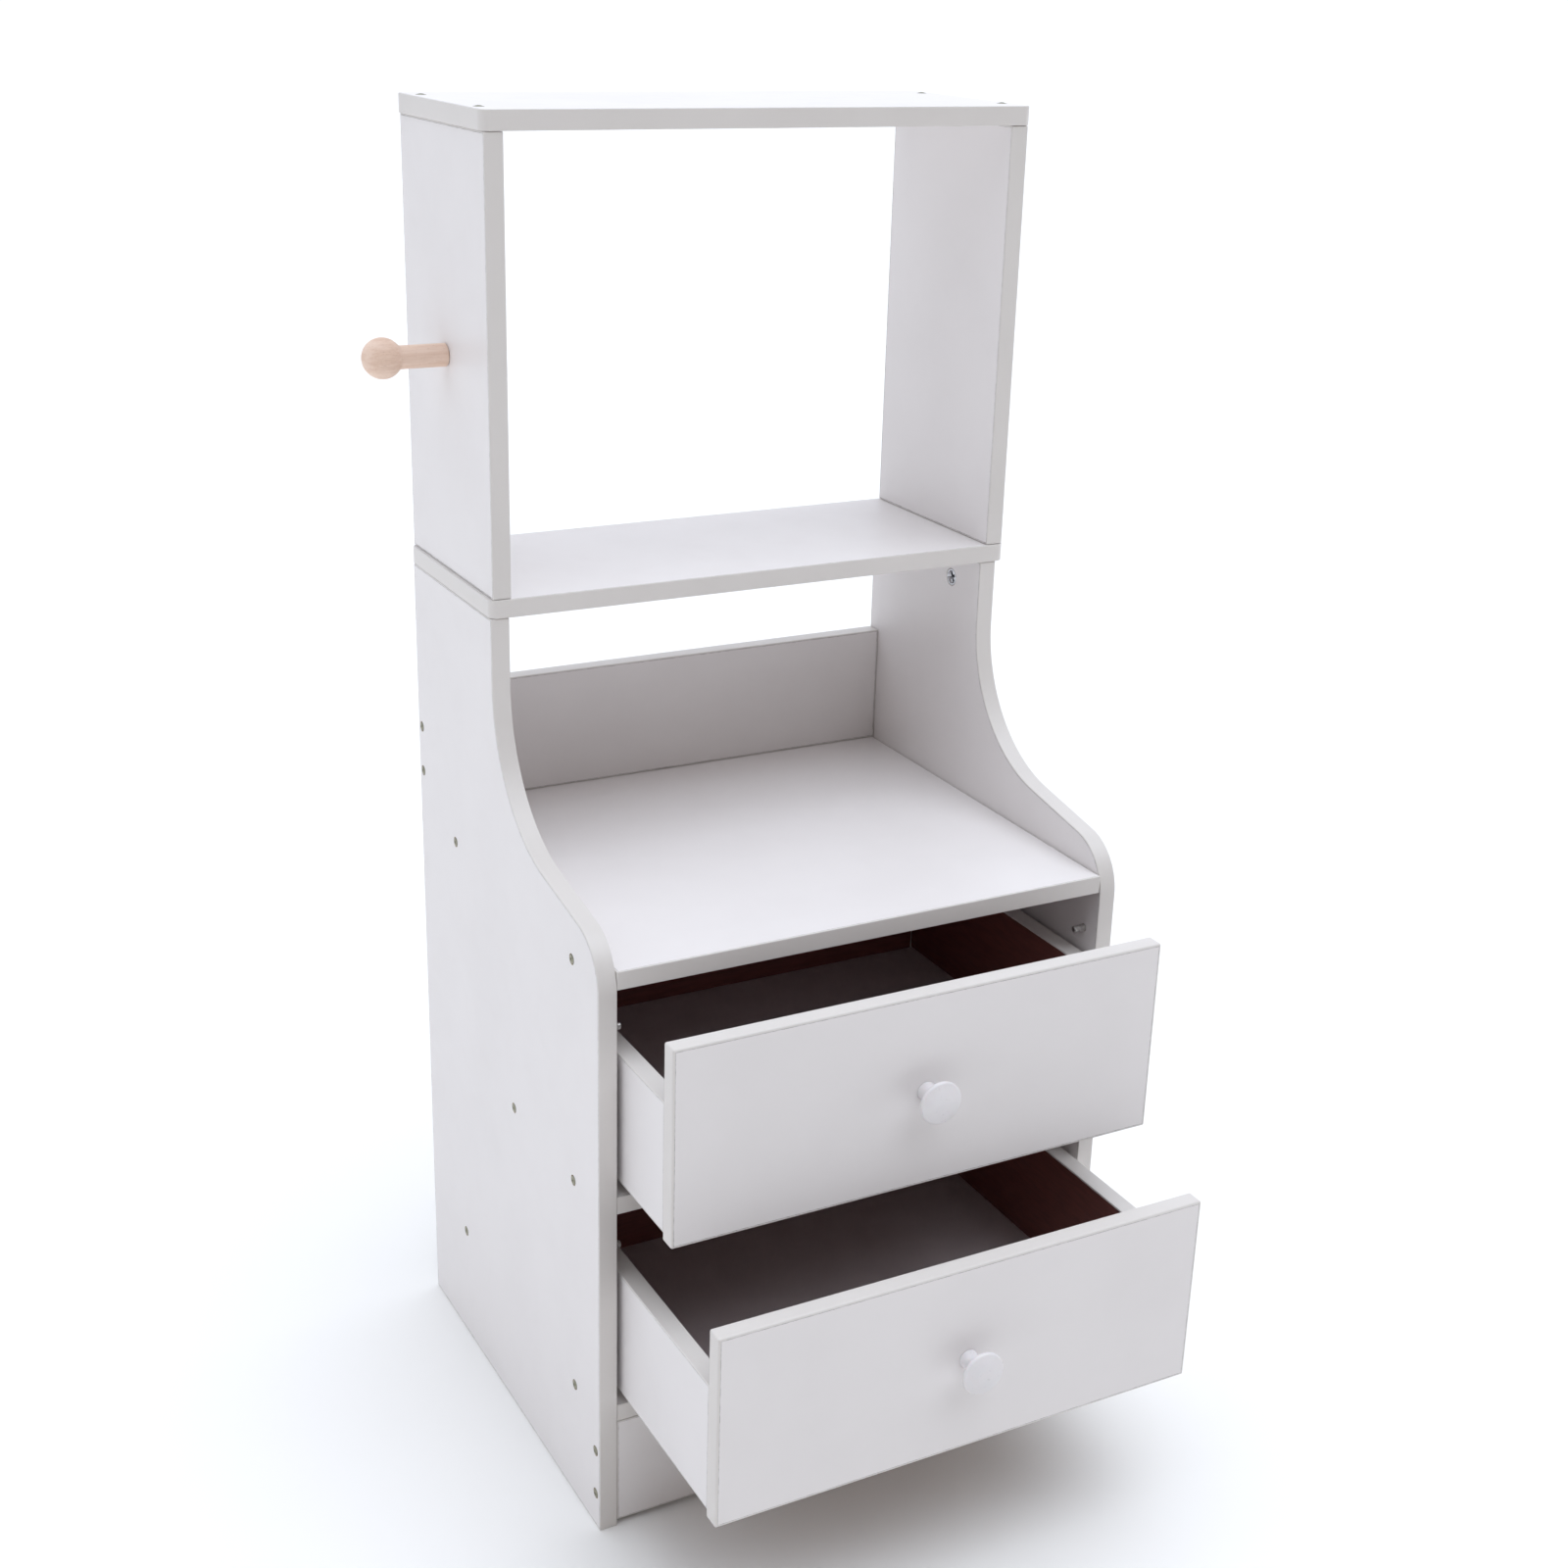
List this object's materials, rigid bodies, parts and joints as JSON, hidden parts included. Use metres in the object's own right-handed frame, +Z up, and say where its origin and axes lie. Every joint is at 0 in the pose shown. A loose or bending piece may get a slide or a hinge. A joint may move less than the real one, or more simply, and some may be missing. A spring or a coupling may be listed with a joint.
{
  "type": "bedside cabinet",
  "caption": "White bedside cabinet with sliding drawers, curved side panels, an open niche and an open shelf frame on top, and a wooden peg on its left side.",
  "frame": {"origin": "bottom centre of the bounding box, drawers standing open as they are at rest and the peg included", "axes": "+X to the cabinet's right as seen from its front, +Y to the back, so the drawers open along -Y, and +Z up"},
  "size_m": [0.5322, 0.581, 1.0809],
  "materials": {
    "white_board": "satin white melamine on particle board, with matching edge bands",
    "gloss_white": "glossy white",
    "pale_sheet": "pale grey-white faced hardboard with a soft sheen",
    "beech": "turned beech, clear satin lacquer",
    "zinc_steel": "yellowish zinc plating"
  },
  "bodies": {
    "carcass": {"left_side": "white_board", "right_side": "white_board", "deck": "white_board", "divider": "white_board", "bottom_board": "white_board", "plinth": "white_board", "back_rail": "white_board", "middle_shelf": "white_board", "left_upright": "white_board", "right_upright": "white_board", "top_board": "white_board", "back_panel": "white_board", "peg": "beech", "upper_left_runner": "white_board", "upper_right_runner": "white_board", "lower_left_runner": "white_board", "lower_right_runner": "white_board", "upper_left_stop_pin": "zinc_steel", "upper_right_stop_pin": "zinc_steel", "lower_left_stop_pin": "zinc_steel", "lower_right_stop_pin": "zinc_steel", "left_cam_lock": "zinc_steel", "right_cam_lock": "zinc_steel", "left_deck_front_screw": "zinc_steel", "left_deck_rear_screw": "zinc_steel", "left_divider_front_screw": "zinc_steel", "left_divider_rear_screw": "zinc_steel", "left_bottom_front_screw": "zinc_steel", "left_bottom_rear_screw": "zinc_steel", "left_rail_lower_screw": "zinc_steel", "left_rail_upper_screw": "zinc_steel", "left_plinth_lower_screw": "zinc_steel", "left_plinth_upper_screw": "zinc_steel", "right_deck_front_screw": "zinc_steel", "right_deck_rear_screw": "zinc_steel", "right_divider_front_screw": "zinc_steel", "right_divider_rear_screw": "zinc_steel", "right_bottom_front_screw": "zinc_steel", "right_bottom_rear_screw": "zinc_steel", "right_rail_lower_screw": "zinc_steel", "right_rail_upper_screw": "zinc_steel", "right_plinth_lower_screw": "zinc_steel", "right_plinth_upper_screw": "zinc_steel", "top_left_front_screw": "zinc_steel", "top_left_rear_screw": "zinc_steel", "top_right_front_screw": "zinc_steel", "top_right_rear_screw": "zinc_steel"},
    "upper_drawer": {"upper_drawer_front": "white_board", "upper_drawer_left": "white_board", "upper_drawer_right": "white_board", "upper_drawer_back": "white_board", "upper_drawer_bottom": "pale_sheet", "upper_drawer_knob": "gloss_white"},
    "lower_drawer": {"lower_drawer_front": "white_board", "lower_drawer_left": "white_board", "lower_drawer_right": "white_board", "lower_drawer_back": "white_board", "lower_drawer_bottom": "pale_sheet", "lower_drawer_knob": "gloss_white"}
  },
  "joints": [
    {"name": "upper_drawer_slide", "type": "slide", "parent": "carcass", "child": "upper_drawer", "axis": [0, -1, 0], "range_m": [-0.088, 0.162]},
    {"name": "lower_drawer_slide", "type": "slide", "parent": "carcass", "child": "lower_drawer", "axis": [0, -1, 0], "range_m": [-0.167, 0.083]}
  ]
}
